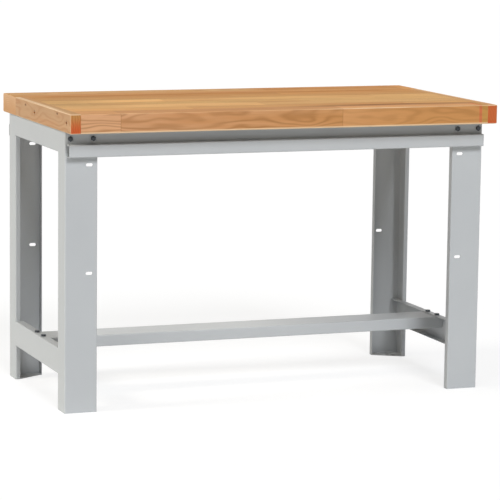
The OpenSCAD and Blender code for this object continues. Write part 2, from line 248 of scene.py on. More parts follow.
def oiled_wood(name, along, boards, lengths, pith, tones, shades, end_grain, figure=1.0, marks=(), knots=(),
               eased=None):
    """Solid beech. along is the axis of the grain, and boards the first edge, the width and the number.

    lengths gives where the glued lengths of a board start and how long they are, and pith how far the
    log's centre line lies behind and below the board. tones has a colour for each board. shades holds
    the colours of the dark rings, the red heartwood and the painted highlight on the rounded edges, and
    end_grain those of its upper part, its lower part and its rings. figure is how strongly the rings
    show. A mark is a middle, a half width and a soft edge across the grain, a start, an end and a fade
    along it, a strength and a colour. knots are the places of pin knots, and eased is the height of the
    lower front edge, above which a strip of painted highlight runs.
    """
    material, tree, shader = new_material(name)
    place = add(tree, "ShaderNodeTexCoord").outputs["Object"]
    axes = add(tree, "ShaderNodeSeparateXYZ", {0: place}).outputs
    run, side, up = (axes[0], axes[1], axes[2]) if along == "X" else (axes[1], axes[0], axes[2])
    calc, vector, ramp, mix, noise = (
        partial(tool, tree) for tool in (value_node, vector_node, ramp_node, mix_node, noise_node))

    def plus(*values):
        return reduce(partial(calc, "ADD"), values)

    def times(*values):
        return reduce(partial(calc, "MULTIPLY"), values)

    def centred(value, size):
        return times(plus(value, -0.5), size)

    def xyz(x, y, z):
        return add(tree, "ShaderNodeCombineXYZ", {0: x, 1: y, 2: z}).outputs[0]

    def three(colour):
        return add(tree, "ShaderNodeSeparateColor", {0: colour}).outputs

    # Which board and which glued length a point lies in
    first_edge, width = (value * MM for value in boards[:2])
    start, length = (value * MM for value in lengths)
    board_run = calc("DIVIDE", plus(side, -first_edge), width)
    board = calc("MINIMUM", calc("MAXIMUM", calc("FLOOR", board_run), 0.0), boards[2] - 1.0)
    stagger = times(calc("MODULO", board, 3.0), length * STAGGER)
    piece_run = calc("DIVIDE", calc("SUBTRACT", plus(run, -start), stagger), length)
    chance = add(tree, "ShaderNodeTexWhiteNoise", {"Vector": xyz(board, calc("FLOOR", piece_run), LUCK_SEED)},
                 noise_dimensions="3D")
    luck = three(chance.outputs["Color"])

    # The log's centre line, and the slow bends of the trunk
    grain = xyz(run, side, up)
    far = vector("MULTIPLY_ADD", xyz(*luck[:3]), LOG_SHIFT, vector("MULTIPLY", grain, TRUNK_BENDS))
    bend = three(noise(far, 1.0, 2.0)["Color"])
    behind, below = (value * MM for value in pith)
    middle = calc("MULTIPLY_ADD", plus(board, 0.5), width, first_edge + behind)
    across = plus(calc("SUBTRACT", side, middle), centred(luck[0], 0.05), centred(bend[0], 0.06))
    depth = plus(up, below - rim_high.z * MM, centred(luck[1], 0.03), centred(bend[1], 0.05))
    radius = plus(calc("SQRT", plus(times(across, across), times(depth, depth))),
                  times(run, centred(luck[2], 0.03)))
    wave = calc("SINE", times(radius, 2 * math.pi / (RING_MM * MM)))
    ring = calc("POWER", calc("MULTIPLY_ADD", wave, 0.5, 0.5), 2.2)

    # Fibres and short dark ray flecks, both drawn out along the grain, and broad heartwood streaks
    density = 1 / (FIBRE_MM * MM)
    fine = vector("MULTIPLY", grain, (FIBRE_STRETCH * density, density, density))
    fibre = noise(fine, 1.0, 3.0)[0]
    rays = noise(fine, RAY_SCALE, 4.0)[0]
    streak = three(noise(vector("MULTIPLY", far, STREAK_STRETCH), 2.4, 5.0)["Color"])

    # Colour: the board's tone, a little lighter or darker for each length, then the marks and the figure
    fan = add(tree, "ShaderNodeValToRGB", {0: calc("DIVIDE", plus(board, 0.5), float(boards[2]))})
    fan.color_ramp.interpolation = "CONSTANT"
    fan.color_ramp.elements.remove(fan.color_ramp.elements[1])
    fan.color_ramp.elements[0].color = linear(tones[0])
    for index, tone in enumerate(tones[1:], 1):
        fan.color_ramp.elements.new(index / len(tones)).color = linear(tone)
    lighter = plus(1.0, centred(luck[2], 0.22), centred(streak[1], 0.34))
    colour = vector("MULTIPLY", fan.outputs[0], lighter)
    # The third shade is the colour of the painted highlight on the rounded edges
    dark, red, edge_highlight = (linear(shade) for shade in shades)
    colour = mix(times(ramp(streak[0], 0.5, 0.68), calc("MULTIPLY_ADD", luck[0], 0.5, 0.25)), colour, red)
    wander = centred(bend[0], 0.03)
    broken = times(ramp(rays, 0.35, 0.6, 0.75, 1.0), ramp(streak[2], 0.4, 0.5, 0.4, 1.0))
    for at, half, soft, begin, end, fade, strength, shade in marks:
        loose = soft > CRISP_MARK_MM
        off = calc("ABSOLUTE", plus(side, -at * MM, wander if loose else 0.0))
        share = times(
            ramp(off, half * MM, (half - soft) * MM), ramp(run, begin * MM, (begin + fade) * MM),
            ramp(run, end * MM, (end - fade) * MM), broken if loose else 1.0, strength)
        colour = mix(share, colour, linear(shade))
    strong = ramp(luck[2], 0.0, 1.0, 1.4 * figure, 0.6 * figure)
    colour = mix(times(ring, ramp(bend[2], 0.3, 0.6, 0.15, 0.42), strong), colour, dark)
    colour = mix(ramp(fibre, 0.3, 0.75, 0.0, 0.2), colour, dark)
    colour = mix(ramp(rays, 0.6, 0.72, 0.0, 0.2), colour, dark)
    for knot in knots:
        gap = vector("MULTIPLY", vector("SUBTRACT", place, Vector(knot) * MM), KNOT_STRETCH)
        near = ramp(vector("LENGTH", gap, out=1), KNOT_MM * MM, KNOT_MM * MM / 3, 0.0, 0.75)
        colour = mix(near, colour, linear("#5A3418"))

    # The top is golden with age, and the underside raw
    normal = add(tree, "ShaderNodeNewGeometry").outputs["Normal"]
    facing = add(tree, "ShaderNodeSeparateXYZ", {0: normal}).outputs
    tilt = [calc("ABSOLUTE", facing[axis]) for axis in range(3)]
    colour = mix(ramp(facing[2], 0.3, 0.8), colour, linear("#F9EFD6"), "MULTIPLY")
    colour = mix(ramp(facing[2], -0.3, -0.8, 0.0, 0.75), colour, linear("#C6BDAE"))

    # End grain drinks more oil, so it is darker and redder, more so lower down and to the right
    cut_end = ramp(tilt[0 if along == "X" else 1], 0.75, 0.95)
    upper, lower, late = (linear(shade) for shade in end_grain)
    begins, full = ((rim_high.z - below) * MM for below in RED_END_MM)
    redder = ramp(plus(up, centred(bend[1], 0.05)), begins, full)
    end_colour = mix(calc("MAXIMUM", redder, ramp(axes[0], -0.3, 0.3, 0.0, 0.8)), upper, lower)
    colour = mix(cut_end, colour, mix(times(ring, 0.3), end_colour, late))

    # Thin dark glue lines where two boards or two lengths meet, and a painted highlight on the rounded edges
    def seam(count, step):
        offset = calc("ABSOLUTE", plus(calc("FRACT", plus(count, 0.5)), -0.5))
        return calc("LESS_THAN", times(offset, step), GLUE_LINE_MM * MM / 2)

    level_face = ramp(tilt[1 if along == "X" else 0], 0.9, 0.7)
    glue = calc("MAXIMUM", times(seam(board_run, width), level_face), seam(piece_run, length))
    colour = mix(times(glue, 0.7, calc("SUBTRACT", 1.0, cut_end)), colour, dark)
    # Painted highlight: rounded edges, whose normals lie between two axes, get a paler colour, more where
    # they face up
    flattest = calc("MAXIMUM", tilt[0], calc("MAXIMUM", tilt[1], tilt[2]))
    pale = times(ramp(flattest, 0.985, 0.92, 0.0, 0.85), ramp(bend[1], 0.35, 0.6, 0.5, 1.0),
                 ramp(tilt[2], 0.05, 0.25, 0.2, 1.0))
    # Along X the painted edge highlight grows towards the right; on the battens a wider band of it runs along
    # the upper outer edges, growing towards the back
    if along == "X":
        pale = times(pale, ramp(run, -0.15, 0.2, 0.35, 1.0))
    else:
        begins, full = ((rim_high.x - inset) * MM for inset in BATTEN_HIGHLIGHT_MM)
        batten_highlight = times(ramp(calc("ABSOLUTE", side), begins, full), ramp(facing[2], 0.8, 0.95),
                     ramp(run, -0.33, -0.1, 0.1, 0.65))
        pale = calc("MAXIMUM", pale, batten_highlight)
    # A strip of painted highlight just above the lower front edge, on faces that look forward
    if eased:
        begins, full = ((eased + above) * MM for above in FRONT_HIGHLIGHT_MM)
        pale = calc("MAXIMUM", pale, times(ramp(up, begins, full), ramp(facing[1], -0.8, -0.95), 0.8))

    feed(tree, shader, {
        "Base Color": mix(pale, colour, edge_highlight), "Roughness": ramp(fibre, 0.0, 1.0, 0.58, 0.74),
        "Normal": bumps(tree, calc("MULTIPLY_ADD", ring, -0.3, fibre), 0.4, 0.06),
        "IOR": 1.47, "Specular IOR Level": 0.12})
    return material


print("the wood has rings", RING_MM, "mm apart")

# %% [markdown]
# ## The marks of these boards
# The top has marks of its own, placed here in millimetres: a dark streak near the seam of the two
# front boards and a fainter one beside the rear board's seam, a duller shade at the left, a warm
# front face, and a pale and a warm place on the rear board. At the right-hand end of the front board
# a red line sets off a short yellow piece. A board without joints counts as one very long length.

# %% Make the three kinds of board
stave_low = box_mm("top_stave_1")[0]
STAVE_W = box_mm("top_stave_2")[0].y - stave_low.y
BATTEN_W = box_mm("left_end_batten")[1].x - rim_low.x
FRONT_MIDDLE = rim_low.y + STAVE_W / 2
END_X = box_mm("right_end_batten")[0].x
REAR_SEAM_Y = box_mm("rear_board")[0].y
BATTENS_IN_TOP = round((rim_high.x - rim_low.x) / BATTEN_W)
UNJOINED = (-2000, 2600)
# A dark streak on the top near the seam of the two front boards, from the middle to the right-hand end
DARK_STREAK = (FRONT_MIDDLE + 44, 34, 18, 20, 760, 280, 1.0, "#704410")
REAR_STREAK = (REAR_SEAM_Y - 14, 40, 24, -600, 560, 60, 0.9, "#C08040")
LEFT_SHADE = (FRONT_MIDDLE + 3.5 * STAVE_W, 170, 102, -900, -380, 160, 0.75, "#CAA676")
WARM_FRONT = (rim_low.y, 6, 5, -500, END_X + 900, 900, 0.85, "#C88E50")
RED_LINE = (FRONT_MIDDLE, 42, 1, END_X - 28, END_X - 18, 1, 0.75, "#D46A48")
YELLOW_OFFCUT = (FRONT_MIDDLE, 42, 1, END_X - 18, END_X, 1, 0.8, "#C4954E")
PALE_REAR = (REAR_SEAM_Y + 96, 62, 30, -700, 170, 90, 0.75, "#E4C29C")
WARM_REAR = (REAR_SEAM_Y + 84, 34, 20, 110, 660, 80, 0.75, "#C88848")
STAVE_MATERIAL = oiled_wood(
    "oiled_beech_staves", "X", (rim_low.y, STAVE_W, 7), (-500, 660), (75, 12),
    ("#DFAB80", "#E4B580", "#F4CA96", "#FAD198", "#FAD098", "#E3B278", "#D9A66C"),
    ("#9C6A3C", "#C88750", "#F2D4AC"), ("#D0A070", "#C48C58", "#8F5C34"),
    1.4, (LEFT_SHADE, WARM_FRONT, DARK_STREAK, REAR_STREAK, RED_LINE, YELLOW_OFFCUT), eased=stave_low.z)
REAR_MATERIAL = oiled_wood(
    "oiled_beech_rear_board", "X", (REAR_SEAM_Y, 140, 1), UNJOINED, (20, 70),
    ("#DCA870",), ("#95633A", "#BC7A48", "#E8C8A0"), ("#DDB48C", "#D2A276", "#A06C44"),
    1.0, (PALE_REAR, WARM_REAR))
BATTEN_MATERIAL = oiled_wood(
    "oiled_beech_battens", "Y", (rim_low.x, BATTEN_W, BATTENS_IN_TOP), UNJOINED, (60, 20),
    ("#CDA680", "#D2A880"), ("#B4825A", "#CC8C5C", "#F0D4B0"), ("#C08A50", "#CC6034", "#8C4420"),
    knots=((rim_low.x, 103, rim_high.z - 13), (rim_low.x, -222, rim_high.z - 9)))
print("made", STAVE_MATERIAL.name, REAR_MATERIAL.name, BATTEN_MATERIAL.name)

# %% [markdown]
# ## Dark zinc on the bolts
# The bolts and screws are steel with a black zinc coat. It is a thin metal layer, so it still
# reflects like a metal, dark and slightly rough, with small cloudy marks from the bath.

# %% Make the dark zinc
ZINC_CLOUD_MM = 3.0


def dark_zinc(name, pale, deep):
    """Black zinc plating: a dark metal with cloudy marks."""
    material, tree, shader = new_material(name)
    place = add(tree, "ShaderNodeTexCoord").outputs["Object"]
    cloud = noise_node(tree, place, 1 / (ZINC_CLOUD_MM * MM), 4.0)[0]
    feed(tree, shader, {
        "Base Color": mix_node(tree, cloud, linear(deep), linear(pale)),
        "Roughness": ramp_node(tree, cloud, 0.0, 1.0, 0.32, 0.55), "Metallic": 1.0})
    return material


BOLT_STEEL = dark_zinc("black_zinc_steel", "#5A5D60", "#33363A")
print("made", BOLT_STEEL.name)

# %% [markdown]
# ## From mesh to piece
# Every piece ends the same way: its mesh becomes an object at the origin, gets its material and is
# hung on the bench's one body. Sheet metal could be modelled with its thickness, but a Solidify
# modifier gives an even wall from the middle line, as a real sheet has. A small Bevel then catches
# the light along each cut edge, and Weighted Normals keep the broad faces flat beside it. On solid
# pieces another function marks the corners that have to stay crisp.

# %% The functions that finish a piece
CUT_EDGE = 0.35


def mesh_data(name, mesh):
    """Turns a bmesh to mesh data, and frees it."""
    data = bpy.data.meshes.new(name)
    mesh.to_mesh(data)
    mesh.free()
    return data


def new_object(name, data):
    """An object at the origin, linked to the scene."""
    made = bpy.data.objects.new(name, data)
    bpy.context.scene.collection.objects.link(made)
    return made


def keep_flat(piece):
    """Lets broad faces shade flat beside soft edges."""
    flat = piece.modifiers.new("flat_faces", "WEIGHTED_NORMAL")
    flat.keep_sharp = True


def finish_piece(name, mesh, material, slot, nodes, wall=0.0, edge=0.0):
    """Turns a bmesh to a finished piece that stands for the given engineering pieces."""
    for face in mesh.faces:
        face.smooth = True
    data = mesh_data(name, mesh)
    data.materials.append(material)
    piece = new_object(name, data)
    if wall:
        solid = piece.modifiers.new("wall", "SOLIDIFY")
        solid.thickness = wall * MM
        solid.offset = 0.0
        solid.use_even_offset = True
    if edge:
        bevel = piece.modifiers.new("edge", "BEVEL")
        bevel.width = edge * MM
        bevel.segments = 2
        bevel.limit_method = "ANGLE"
        bevel.angle_limit = math.radians(40)
    if wall or edge:
        keep_flat(piece)
    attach(piece, "root")
    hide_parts(*nodes)
    return piece


def finish_sheet(name, mesh, node, wall=SHEET, edge=CUT_EDGE):
    """Finishes a flat or folded blank as painted sheet steel."""
    finish_piece(name, mesh, FRAME_PAINT, "frame_paint", [node], wall=wall, edge=edge)


def corners_of(mesh, angle):
    """The edges where two faces meet that turn by more than an angle in degrees."""
    return [edge for edge in mesh.edges
            if len(edge.link_faces) == 2 and edge.calc_face_angle() > math.radians(angle)]


def mark_sharp(mesh, angle=35):
    """Keeps an edge crisp where its two faces turn by more than the angle."""
    for edge in corners_of(mesh, angle):
        edge.smooth = False


print("pieces will be finished by", finish_piece.__name__)

# %% [markdown]
# ## Cut flat, then fold
# A steel leg starts as a flat blank. A press punches the slots and holes, and a brake folds it along
# straight lines. Modelling it the same way keeps every slot true: the blank is one flat face with
# its holes, it is split where each bend begins and ends, and then each point is moved from its place
# along the blank to its place along the folded section.

# %% The folding tools
def folded_line(path):
    """The section's middle line, with an arc at each corner, as points in millimetres."""
    corners = [Vector(point) for point in path]
    line = [corners[0]]
    for before, corner, after in zip(corners, corners[1:], corners[2:]):
        inward, outward = (corner - before).normalized(), (after - corner).normalized()
        turn = math.atan2(inward.x * outward.y - inward.y * outward.x, inward.dot(outward))
        left = Vector((-inward.y, inward.x)) * math.copysign(1.0, turn)
        start = corner - inward * MIDDLE_BEND * math.tan(abs(turn) / 2)
        centre = start + left * MIDDLE_BEND
        for step in range(BEND_STEPS + 1):
            angle = turn * step / BEND_STEPS
            arm = Matrix.Rotation(angle, 2) @ (start - centre)
            line.append(centre + arm)
    return line + [corners[-1]]


def stations(line):
    """How far along the flat blank each point of the folded line lies."""
    run = [0.0]
    for here, there in zip(line, line[1:]):
        run.append(run[-1] + (there - here).length)
    return run


def on_blank(line, point):
    """The place along the blank that ends up nearest to a point of the section."""
    best = None
    for here, there, at in zip(line, line[1:], stations(line)):
        stretch = there - here
        share = min(max((Vector(point) - here).dot(stretch) / stretch.length_squared, 0.0), 1.0)
        gap = (here + stretch * share - Vector(point)).length
        if best is None or gap < best[0]:
            best = (gap, at + share * stretch.length)
    return best[1]


def punch(mesh, at, height, length, width):
    """Adds the outline of a slot, or of a round hole where the length equals the width."""
    ring = bmesh.ops.create_circle(mesh, segments=24, radius=width / 2)["verts"]
    bmesh.ops.rotate(mesh, verts=ring, matrix=Matrix.Rotation(math.pi / 24, 3, "Z"))
    for vertex in ring:
        vertex.co.x += math.copysign((length - width) / 2, vertex.co.x)
    bmesh.ops.translate(mesh, verts=ring, vec=(at, height, 0))


def sliced(mesh, point, normal, clear_outer=False):
    """Cuts a mesh along a plane and gives what lies on the cut."""
    return bmesh.ops.bisect_plane(
        mesh, geom=mesh.verts[:] + mesh.edges[:] + mesh.faces[:], dist=1e-5, plane_co=point, plane_no=normal,
        clear_outer=clear_outer)["geom_cut"]


def folded_sheet(path, length, holes=(), notches=()):
    """A folded blank. Each hole is a point of the section, a height, a length and a width.

    Each notch is cut out of the blank, from one point of the section to another and between two heights.
    """
    line = folded_line(path)
    run = stations(line)
    blank = bmesh.new()
    corners = bmesh.ops.create_grid(blank, x_segments=1, y_segments=1, size=0.5)["verts"]
    bmesh.ops.scale(blank, verts=corners, vec=(run[-1], length, 1))
    bmesh.ops.translate(blank, verts=corners, vec=(run[-1] / 2, length / 2, 0))
    bmesh.ops.delete(blank, geom=blank.faces[:], context="FACES_ONLY")
    for point, height, slot_length, slot_width in holes:
        punch(blank, on_blank(line, point), height, slot_length, slot_width)
    bmesh.ops.triangle_fill(blank, use_beauty=True, edges=blank.edges[:])
    lines = [((at, 0, 0), (1, 0, 0)) for at in run[1:-1]]
    lines += [((0, height, 0), (0, 1, 0)) for notch in notches for height in notch[2:]]
    for point, normal in lines:
        sliced(blank, point, normal)
    for first, last, low, high in notches:
        begin, end = on_blank(line, first), on_blank(line, last)
        gone = [face for face in blank.faces if begin < face.calc_center_median().x < end
                and low < face.calc_center_median().y < high]
        bmesh.ops.delete(blank, geom=gone, context="FACES")
    for vertex in blank.verts:
        index = min(max(bisect_right(run, vertex.co.x) - 1, 0), len(run) - 2)
        share = (vertex.co.x - run[index]) / (run[index + 1] - run[index])
        point = line[index].lerp(line[index + 1], share)
        vertex.co = (point.x, point.y, vertex.co.y)
    bmesh.ops.dissolve_limit(blank, angle_limit=math.radians(1), verts=blank.verts[:], edges=blank.edges[:])
    return blank


def placed(mesh, origin, x_axis, y_axis, z_axis, scale=MM):
    """Moves a mesh from its own axes, in millimetres, to its place on the bench, in metres."""
    columns = Matrix((x_axis, y_axis, z_axis)).transposed().to_4x4()
    columns.translation = Vector(origin)
    bmesh.ops.transform(mesh, matrix=Matrix.Scale(scale, 4) @ columns, verts=mesh.verts[:])
    return mesh


blank_width = stations(folded_line([(0, 0), (LEG_W, 0), (LEG_W, LEG_D)]))[-1]
print("a leg's blank is", round(blank_width, 1), "mm wide before its lips")

# %% [markdown]
# ## Legs
# Each leg is one sheet folded to a deep channel: a broad face, a side face, a lip at the edge of the
# side face, and a lip that stiffens the inner edge. The first lip is notched away where the side
# rails come in. Two slots in the broad face take the bolts of accessories, and light shows through
# them. The four legs are mirror images, so one function makes them all, with the axes turned for
# each corner.

# %% Make the legs
SIDE_LIP = 14.0
EDGE_LIP = 20.0
SLOT = (20.0, 9.0)
SLOT_FROM_EDGE = 24.0
SLOT_HEIGHTS = (396.0, 701.0)
BOLT_HOLE = 9.0
BOLT_INSETS = (15.0, 81.0)
BOLT_DROP = 20.0
BOLT_Z = LEG_H - BOLT_DROP

LEG_PATH = [(LEG_W - HALF, EDGE_LIP), (LEG_W - HALF, HALF), (HALF, HALF),
            (HALF, LEG_D - HALF), (SIDE_LIP, LEG_D - HALF)]
LEG_HOLES = [((LEG_W - SLOT_FROM_EDGE, HALF), height, *SLOT) for height in SLOT_HEIGHTS]
LEG_HOLES += [((x, HALF), BOLT_Z, BOLT_HOLE, BOLT_HOLE) for x in BOLT_INSETS]
LEG_NOTCHES = [((HALF, LEG_D - FOLD), (SIDE_LIP, LEG_D - HALF), low.z, high.z)
               for low, high in (box_mm("left_lower_rail"), box_mm("left_upper_rail"))]
CORNERS = {"front_left": (-1, -1), "front_right": (1, -1), "rear_left": (-1, 1), "rear_right": (1, 1)}


def corner_axes(side, end):
    """Where a leg's outer corner stands, and its axes, which run towards the middle of the bench."""
    origin = (side * FRAME_X, FRONT_Y if end < 0 else REAR_Y, 0)
    return origin, (-side, 0, 0), (0, -end, 0), (0, 0, 1)


for corner, (side, end) in CORNERS.items():
    leg = placed(folded_sheet(LEG_PATH, LEG_H, LEG_HOLES, LEG_NOTCHES), *corner_axes(side, end))
    finish_sheet(f"leg_{corner}", leg, f"{corner}_leg")
print("made", len(CORNERS), "legs")

# %% [markdown]
# ## Foot plates
# A plate is welded into the bottom of each leg, so that the thin sheet doesn't stand on its edge.
# It is a flat laser-cut plate with a slanted inner edge and one hole for a floor bolt. Its outline
# and its hole are filled as one flat face, and the wall is added as for the sheet.

# %% Make the foot plates
PLATE = 4.0
PLATE_EDGE = 0.3
FLOOR_BOLT = (38.0, 28.0, 11.0)


def foot_plate():
    """The flat outline of a foot plate, half its thickness above the floor."""
    mesh = bmesh.new()
    inner_x, inner_y = LEG_W - SHEET, LEG_D - SHEET
    outline = [(FOLD, SHEET), (inner_x - INNER_BEND, SHEET), (inner_x, FOLD), (inner_x, EDGE_LIP),
               (SIDE_LIP, inner_y), (FOLD, inner_y), (SHEET, inner_y - INNER_BEND), (SHEET, FOLD)]
    ring = [mesh.verts.new((x, y, 0)) for x, y in outline]
    for here, there in zip(ring, ring[1:] + ring[:1]):
        mesh.edges.new((here, there))
    x, y, width = FLOOR_BOLT
    punch(mesh, x, y, width, width)
    bmesh.ops.triangle_fill(mesh, use_beauty=True, edges=mesh.edges[:])
    bmesh.ops.translate(mesh, verts=mesh.verts[:], vec=(0, 0, PLATE / 2))
    return mesh


for corner, (side, end) in CORNERS.items():
    plate = placed(foot_plate(), *corner_axes(side, end))
    finish_sheet(f"foot_plate_{corner}", plate, f"{corner}_foot_plate", PLATE, PLATE_EDGE)
print("made", len(CORNERS), "foot plates")

# %% [markdown]
# ## Side rails
# Two rails join the legs of each end: a broad one under the worktop, whose wide upper flange carries
# the boards, and a channel near the floor that carries the stretcher. The upright web of a rail ends
# flush against the side faces of the legs. Its flanges run on as flat tongues through the notches,
# up to the broad faces, where they are welded. So the ends of the blank are notched too.

# %% Make the side rails
SCREW_HOLE = 6.2
SCREW_HEAD = 12.0
FLATS = 13.0
POINTS = FLATS / math.cos(math.radians(30))
low, high = box_mm("side_rail_screws")
SIDE_SCREW_X = high.x - SCREW_HEAD / 2
SIDE_SCREW_YS = (low.y + SCREW_HEAD / 2, high.y - SCREW_HEAD / 2)
low, high = box_mm("stretcher_bolts")
STRETCHER_BOLT_X = high.x - POINTS / 2
STRETCHER_BOLT_YS = (low.y + FLATS / 2, high.y - FLATS / 2)
BROAD_FLANGE = 45.0
NARROW_FLANGE = 25.0
WEB_ENDS = (FRONT_Y + LEG_D - FOLD, REAR_Y - LEG_D + FOLD)


def side_rail(node, side, top_flange, hole_x, hole_ys, hole_width):
    """A channel with the box of its engineering piece, and with holes in its upper flange."""
    low, high = box_mm(node)
    height = high.z - low.z
    section = [(top_flange, height - HALF), (HALF, height - HALF), (HALF, HALF), (NARROW_FLANGE, HALF)]
    length, tongue = high.y - low.y, WEB_ENDS[0] - low.y
    holes = [((FRAME_X - hole_x, height - HALF), y - low.y, hole_width, hole_width) for y in hole_ys]
    bends = ((FOLD, height - HALF), (FOLD, HALF))
    notches = [(*bends, 0, tongue), (*bends, length - tongue, length)]
    rail = folded_sheet(section, length, holes, notches)
    placed(rail, (side * FRAME_X, low.y, low.z), (-side, 0, 0), (0, 0, 1), (0, 1, 0))
    finish_sheet(f"{node}_sheet", rail, node)


for word, side in (("left", -1), ("right", 1)):
    side_rail(f"{word}_upper_rail", side, BROAD_FLANGE, SIDE_SCREW_X, SIDE_SCREW_YS, SCREW_HOLE)
    side_rail(f"{word}_lower_rail", side, NARROW_FLANGE, STRETCHER_BOLT_X, STRETCHER_BOLT_YS, BOLT_HOLE)
print("made 4 side rails, with screws at", round(SIDE_SCREW_X), "and bolts at", round(STRETCHER_BOLT_X, 1))

# %% [markdown]
# ## Long rails
# The rail under the front edge has five bends. Its upper part lies back against the legs, where the
# bolts go through, and its band stands out below as a handsome edge. The rail at the back is the
# same, turned round.

# %% Make the long rails
BAND_TOP = LEG_H - 36.0
BAND_BOTTOM = BAND_TOP - 35.0
BAND_PROUD = 24.0
BAND_LIP = 12.0
LONG_FLANGE = 30.0
LONG_RAIL_PATH = [
    (LONG_FLANGE, LEG_H - HALF), (HALF, LEG_H - HALF), (HALF, BAND_TOP - HALF),
    (BAND_PROUD - HALF, BAND_TOP - HALF), (BAND_PROUD - HALF, BAND_BOTTOM + HALF),
    (HALF, BAND_BOTTOM + HALF), (HALF, BAND_BOTTOM + BAND_LIP)]
rail_low, rail_high = box_mm("front_long_rail")
LONG_RAIL_L = rail_high.x - rail_low.x
RAIL_BOLT_XS = [side * (FRAME_X - inset) for side in (-1, 1) for inset in BOLT_INSETS]
LONG_SCREW_XS = [k * LONG_RAIL_L / 8 for k in (-3, -1, 1, 3)]
LONG_SCREW_OUT = (LONG_FLANGE + SHEET) / 2

for word, face_y, out in (("front", FRONT_Y, -1), ("rear", REAR_Y, 1)):
    holes = [((HALF, BOLT_Z), x - rail_low.x, BOLT_HOLE, BOLT_HOLE) for x in RAIL_BOLT_XS]
    holes += [((LONG_SCREW_OUT, LEG_H - HALF), x - rail_low.x, SCREW_HOLE, SCREW_HOLE)
              for x in LONG_SCREW_XS]
    rail = folded_sheet(LONG_RAIL_PATH, LONG_RAIL_L, holes)
    placed(rail, (rail_low.x, face_y, 0), (0, out, 0), (0, 0, 1), (1, 0, 0))
    finish_sheet(f"{word}_rail_sheet", rail, f"{word}_long_rail")
print("made 2 long rails,", round(LONG_RAIL_L), "mm long")

# %% [markdown]
# ## Stretcher
# The low stretcher keeps the two ends from swaying. It is a channel that is open downwards, with
# lips along its lower edges, and it is bolted up against the flanges of the lower side rails.

# %% Make the stretcher
STRETCHER_LIP = 12.0
stretcher_low, stretcher_high = box_mm("stretcher")
HALF_STRETCHER = (stretcher_high.y - stretcher_low.y) / 2
STRETCHER_DROP = stretcher_high.z - stretcher_low.z
half_path = [(HALF_STRETCHER - STRETCHER_LIP, HALF - STRETCHER_DROP),
             (HALF_STRETCHER - HALF, HALF - STRETCHER_DROP), (HALF_STRETCHER - HALF, -HALF)]
STRETCHER_PATH = [(-y, z) for y, z in half_path] + half_path[::-1]
holes = [((y - MID_Y, -HALF), side * STRETCHER_BOLT_X - stretcher_low.x, BOLT_HOLE, BOLT_HOLE)
         for side in (-1, 1) for y in STRETCHER_BOLT_YS]
stretcher = folded_sheet(STRETCHER_PATH, stretcher_high.x - stretcher_low.x, holes)
placed(stretcher, (stretcher_low.x, MID_Y, stretcher_high.z), (0, 1, 0), (0, 0, 1), (1, 0, 0))
finish_sheet("stretcher_sheet", stretcher, "stretcher")
print("made the stretcher at", round(stretcher_high.z), "mm")

# %% [markdown]
# ## Weld beads
# A bead is a row of overlapping drops, so it is made as a thin rod whose thickness swells and
# shrinks a little along its length, half sunk in the corner that it fills. Where a rail's web meets
# a leg edge to edge, the weld goes right through, and outside it is ground flush before painting, so
# that no seam shows. There the rod is simply cut off flat, a hair above the face.

# %% Make the weld beads
BEAD_R = 2.2
BUTT_R = 2.6
BUTT_OUT = 0.2
GROUND_FROM = 0.8
GROUND_PROUD = 0.04
DROP_MM = 2.6
# How far in from the frame's outer faces the beads run, and from where to where in a foot
BEAD_REACH = 23
BROAD_BEAD_REACH = 42
FOOT_BEADS = (((14, SHEET + 1), (62, SHEET + 1)), ((SHEET + 1, 14), (SHEET + 1, 52)))
# The rod's thickness between two drops and at its ends, as shares of its greatest
NECK, TIP = 0.82, 0.6


def bead(mesh, start, end, radius=BEAD_R):
    """Adds one rippled rod from start to end, in millimetres."""
    start, end = Vector(start), Vector(end)
    steps = max(4, 2 * round((end - start).length / DROP_MM))
    turn = Vector((0, 0, 1)).rotation_difference(end - start).to_matrix()
    ring = bmesh.ops.create_circle(mesh, cap_ends=True, segments=12, radius=radius * TIP)["verts"]
    bmesh.ops.rotate(mesh, verts=ring, matrix=turn)
    bmesh.ops.translate(mesh, verts=ring, vec=start)
    front = [face for face in mesh.faces if set(face.verts) == set(ring)]
    for step in range(1, steps + 1):
        made = bmesh.ops.extrude_face_region(mesh, geom=front)["geom"]
        if step > 1:
            covered = [face for face in front if face.is_valid]
            bmesh.ops.delete(mesh, geom=covered, context="FACES_ONLY")
        front = [item for item in made if isinstance(item, bmesh.types.BMFace)]
        verts = list({vertex for face in front for vertex in face.verts})
        bmesh.ops.translate(mesh, verts=verts, vec=(end - start) / steps)
        centre = start + (end - start) * step / steps
        swell = (1.0 if step % 2 else NECK) if step < steps else TIP
        for vertex in verts:
            vertex.co = centre + (vertex.co - centre).normalized() * radius * swell


beads = bmesh.new()
for side in (-1, 1):
    for name in ("upper", "lower"):
        low, high = box_mm(f"left_{name}_rail")
        for web_end in WEB_ENDS:
            x = side * (FRAME_X - SHEET + BUTT_OUT)
            bead(beads, (x, web_end, low.z + 1), (x, web_end, high.z - 1), BUTT_R)
for vertex in beads.verts:
    if abs(vertex.co.x) > FRAME_X - GROUND_FROM:
        vertex.co.x = math.copysign(FRAME_X + GROUND_PROUD, vertex.co.x)
for side in (-1, 1):
    for name, flange in (("upper", BROAD_BEAD_REACH), ("lower", BEAD_REACH)):
        low, high = box_mm(f"left_{name}_rail")
        for tongue_end in (low.y + BEAD_R / 2, high.y - BEAD_R / 2):
            for height in (low.z + SHEET + BEAD_R / 2, high.z - SHEET - BEAD_R / 2):
                reach = flange if height > (low.z + high.z) / 2 else BEAD_REACH
                bead(beads, (side * (FRAME_X - FOLD - 1), tongue_end, height),
                     (side * (FRAME_X - reach), tongue_end, height))
